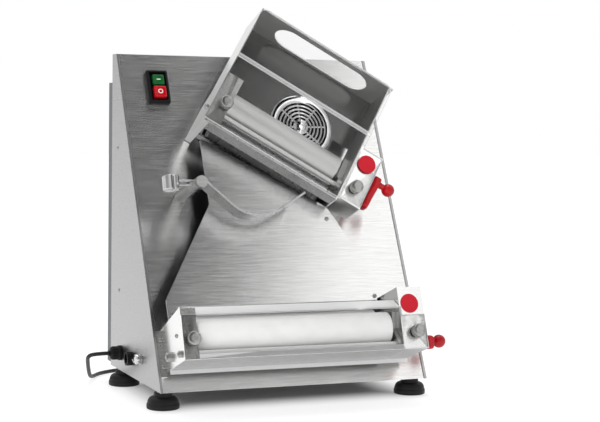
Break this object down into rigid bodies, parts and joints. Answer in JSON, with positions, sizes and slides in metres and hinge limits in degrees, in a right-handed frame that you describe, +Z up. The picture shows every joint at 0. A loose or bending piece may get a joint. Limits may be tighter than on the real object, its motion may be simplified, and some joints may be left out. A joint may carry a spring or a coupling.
{
  "type": "pizza dough roller",
  "caption": "Bench pizza dough roller with a sloping upper roller pair in a clear-fronted hopper, a chute with a balance arm, and a level lower roller pair.",
  "frame": {"origin": "on the bench, under the middle of the overall box of the machine without its cord", "axes": "+X to the right, +Y to the back, +Z up; the rollers and controls face -Y"},
  "size_m": [0.5109, 0.5536, 0.6142],
  "materials": {
    "panel_steel": "brushed along the width",
    "unit_steel": "fine brushed",
    "rear_paint": "satin",
    "foot_rubber": "matt",
    "black_plastic": "satin moulded",
    "green_plastic": "semi-gloss",
    "red_plastic": "gloss",
    "bright_chrome": "polished",
    "clear_sheet": "clear polished",
    "white_plastic": "smooth semi-gloss",
    "roller_steel": "turned",
    "bronze": "plain machined",
    "motor_paint": "satin"
  },
  "bodies": {
    "body": {"balance_pin": "unit_steel", "base_plate": "panel_steel", "chute_plate": "panel_steel", "chute_posts": "panel_steel", "coil_tie": "black_plastic", "cord_coil": "foot_rubber", "cord_gland": "black_plastic", "cord_stretch": "foot_rubber", "fan_grille": "bright_chrome", "foot_studs": "roller_steel", "front_panel": "panel_steel", "gearmotors": "motor_paint", "hopper_top": "unit_steel", "left_side_panel": "panel_steel", "lower_bottom_plate": "unit_steel", "lower_gear_cover": "unit_steel", "lower_guard": "clear_sheet", "lower_left_cheek": "unit_steel", "lower_right_plate": "unit_steel", "lower_scraper": "unit_steel", "pedal_socket": "black_plastic", "plug": "black_plastic", "rear_cover": "rear_paint", "red_discs": "red_plastic", "right_side_panel": "panel_steel", "roller_bushes": "bronze", "rubber_feet": "foot_rubber", "socket_cap": "bright_chrome", "switch_frame": "black_plastic", "thumb_screws": "bright_chrome", "top_panel": "panel_steel", "upper_back_plate": "unit_steel", "upper_gear_cover": "unit_steel", "upper_guard": "clear_sheet", "upper_left_cheek": "unit_steel", "upper_right_plate": "unit_steel", "upper_scrapers": "unit_steel", "upper_standoffs": "panel_steel"},
    "balance_arm": {"balance_arm": "unit_steel", "counterweight": "unit_steel"},
    "start_button": {"start_button": "green_plastic"},
    "stop_button": {"stop_button": "red_plastic"},
    "upper_rear_roller": {"upper_rear_roller": "roller_steel", "upper_rear_gear": "roller_steel"},
    "upper_front_roller": {"upper_front_roller": "roller_steel", "upper_front_gear": "roller_steel"},
    "upper_pinion": {"upper_pinion": "roller_steel"},
    "upper_carriage": {"upper_bearing_blocks": "roller_steel"},
    "upper_gap_lever": {"upper_gap_shaft": "roller_steel", "upper_gap_lever": "red_plastic"},
    "lower_rear_roller": {"lower_rear_roller": "white_plastic", "lower_rear_gear": "roller_steel"},
    "lower_front_roller": {"lower_front_roller": "white_plastic", "lower_front_gear": "roller_steel"},
    "lower_pinion": {"lower_pinion": "roller_steel"},
    "lower_carriage": {"lower_bearing_blocks": "roller_steel"},
    "lower_gap_lever": {"lower_gap_shaft": "roller_steel", "lower_gap_lever": "red_plastic"}
  },
  "joints": [
    {"name": "upper_rear_roller_spin", "type": "hinge", "parent": "body", "child": "upper_rear_roller", "pos_m": [0.01028, 0.04626, 0.36919], "axis": [0.8434, -0.1838, -0.5049], "continuous": true},
    {"name": "upper_gap_lever_turn", "type": "hinge", "parent": "body", "child": "upper_gap_lever", "pos_m": [0.0033, -0.02454, 0.38329], "axis": [0.8434, -0.1838, -0.5049], "range_deg": [-90, 0]},
    {"name": "upper_carriage_slide", "type": "slide", "parent": "body", "child": "upper_carriage", "axis": [0.1506, -0.8212, 0.5505], "range_m": [-0.003, 0]},
    {"name": "upper_front_roller_spin", "type": "hinge", "parent": "upper_carriage", "child": "upper_front_roller", "pos_m": [0.01834, 0.00233, 0.39864], "axis": [0.8434, -0.1838, -0.5049], "continuous": true},
    {"name": "upper_pinion_spin", "type": "hinge", "parent": "body", "child": "upper_pinion", "pos_m": [0.01028, 0.08482, 0.35515], "axis": [0.8434, -0.1838, -0.5049], "continuous": true},
    {"name": "lower_rear_roller_spin", "type": "hinge", "parent": "body", "child": "lower_rear_roller", "pos_m": [-0.004, -0.09924, 0.11409], "axis": [1, 0, 0], "continuous": true},
    {"name": "lower_gap_lever_turn", "type": "hinge", "parent": "body", "child": "lower_gap_lever", "pos_m": [-0.004, -0.17953, 0.09596], "axis": [1, 0, 0], "range_deg": [0, 90]},
    {"name": "lower_carriage_slide", "type": "slide", "parent": "body", "child": "lower_carriage", "axis": [0, -0.9991, 0.0433], "range_m": [0, 0.003]},
    {"name": "lower_front_roller_spin", "type": "hinge", "parent": "lower_carriage", "child": "lower_front_roller", "pos_m": [-0.004, -0.15069, 0.11632], "axis": [1, 0, 0], "continuous": true},
    {"name": "lower_pinion_spin", "type": "hinge", "parent": "body", "child": "lower_pinion", "pos_m": [-0.004, -0.05992, 0.09978], "axis": [1, 0, 0], "continuous": true},
    {"name": "balance_arm_swing", "type": "hinge", "parent": "body", "child": "balance_arm", "pos_m": [-0.15, -0.0581, 0.33447], "axis": [0, -0.9613, 0.2756], "range_deg": [-25, 3]},
    {"name": "start_button_press", "type": "slide", "parent": "body", "child": "start_button", "axis": [0, 0.8927, -0.4507], "range_m": [0, 0.003], "stiffness_N_per_m": 300},
    {"name": "stop_button_press", "type": "slide", "parent": "body", "child": "stop_button", "axis": [0, 0.8927, -0.4507], "range_m": [0, 0.003], "stiffness_N_per_m": 300}
  ],
  "couplings": [
    {"joint": "upper_gap_lever_turn", "follows": "upper_carriage_slide", "rad_per_m": 523.6},
    {"joint": "upper_front_roller_spin", "follows": "upper_rear_roller_spin", "ratio": -1},
    {"joint": "upper_pinion_spin", "follows": "upper_rear_roller_spin", "ratio": -1.6},
    {"joint": "lower_gap_lever_turn", "follows": "lower_carriage_slide", "rad_per_m": 523.6},
    {"joint": "lower_front_roller_spin", "follows": "lower_rear_roller_spin", "ratio": -1},
    {"joint": "lower_pinion_spin", "follows": "lower_rear_roller_spin", "ratio": -1.6}
  ]
}
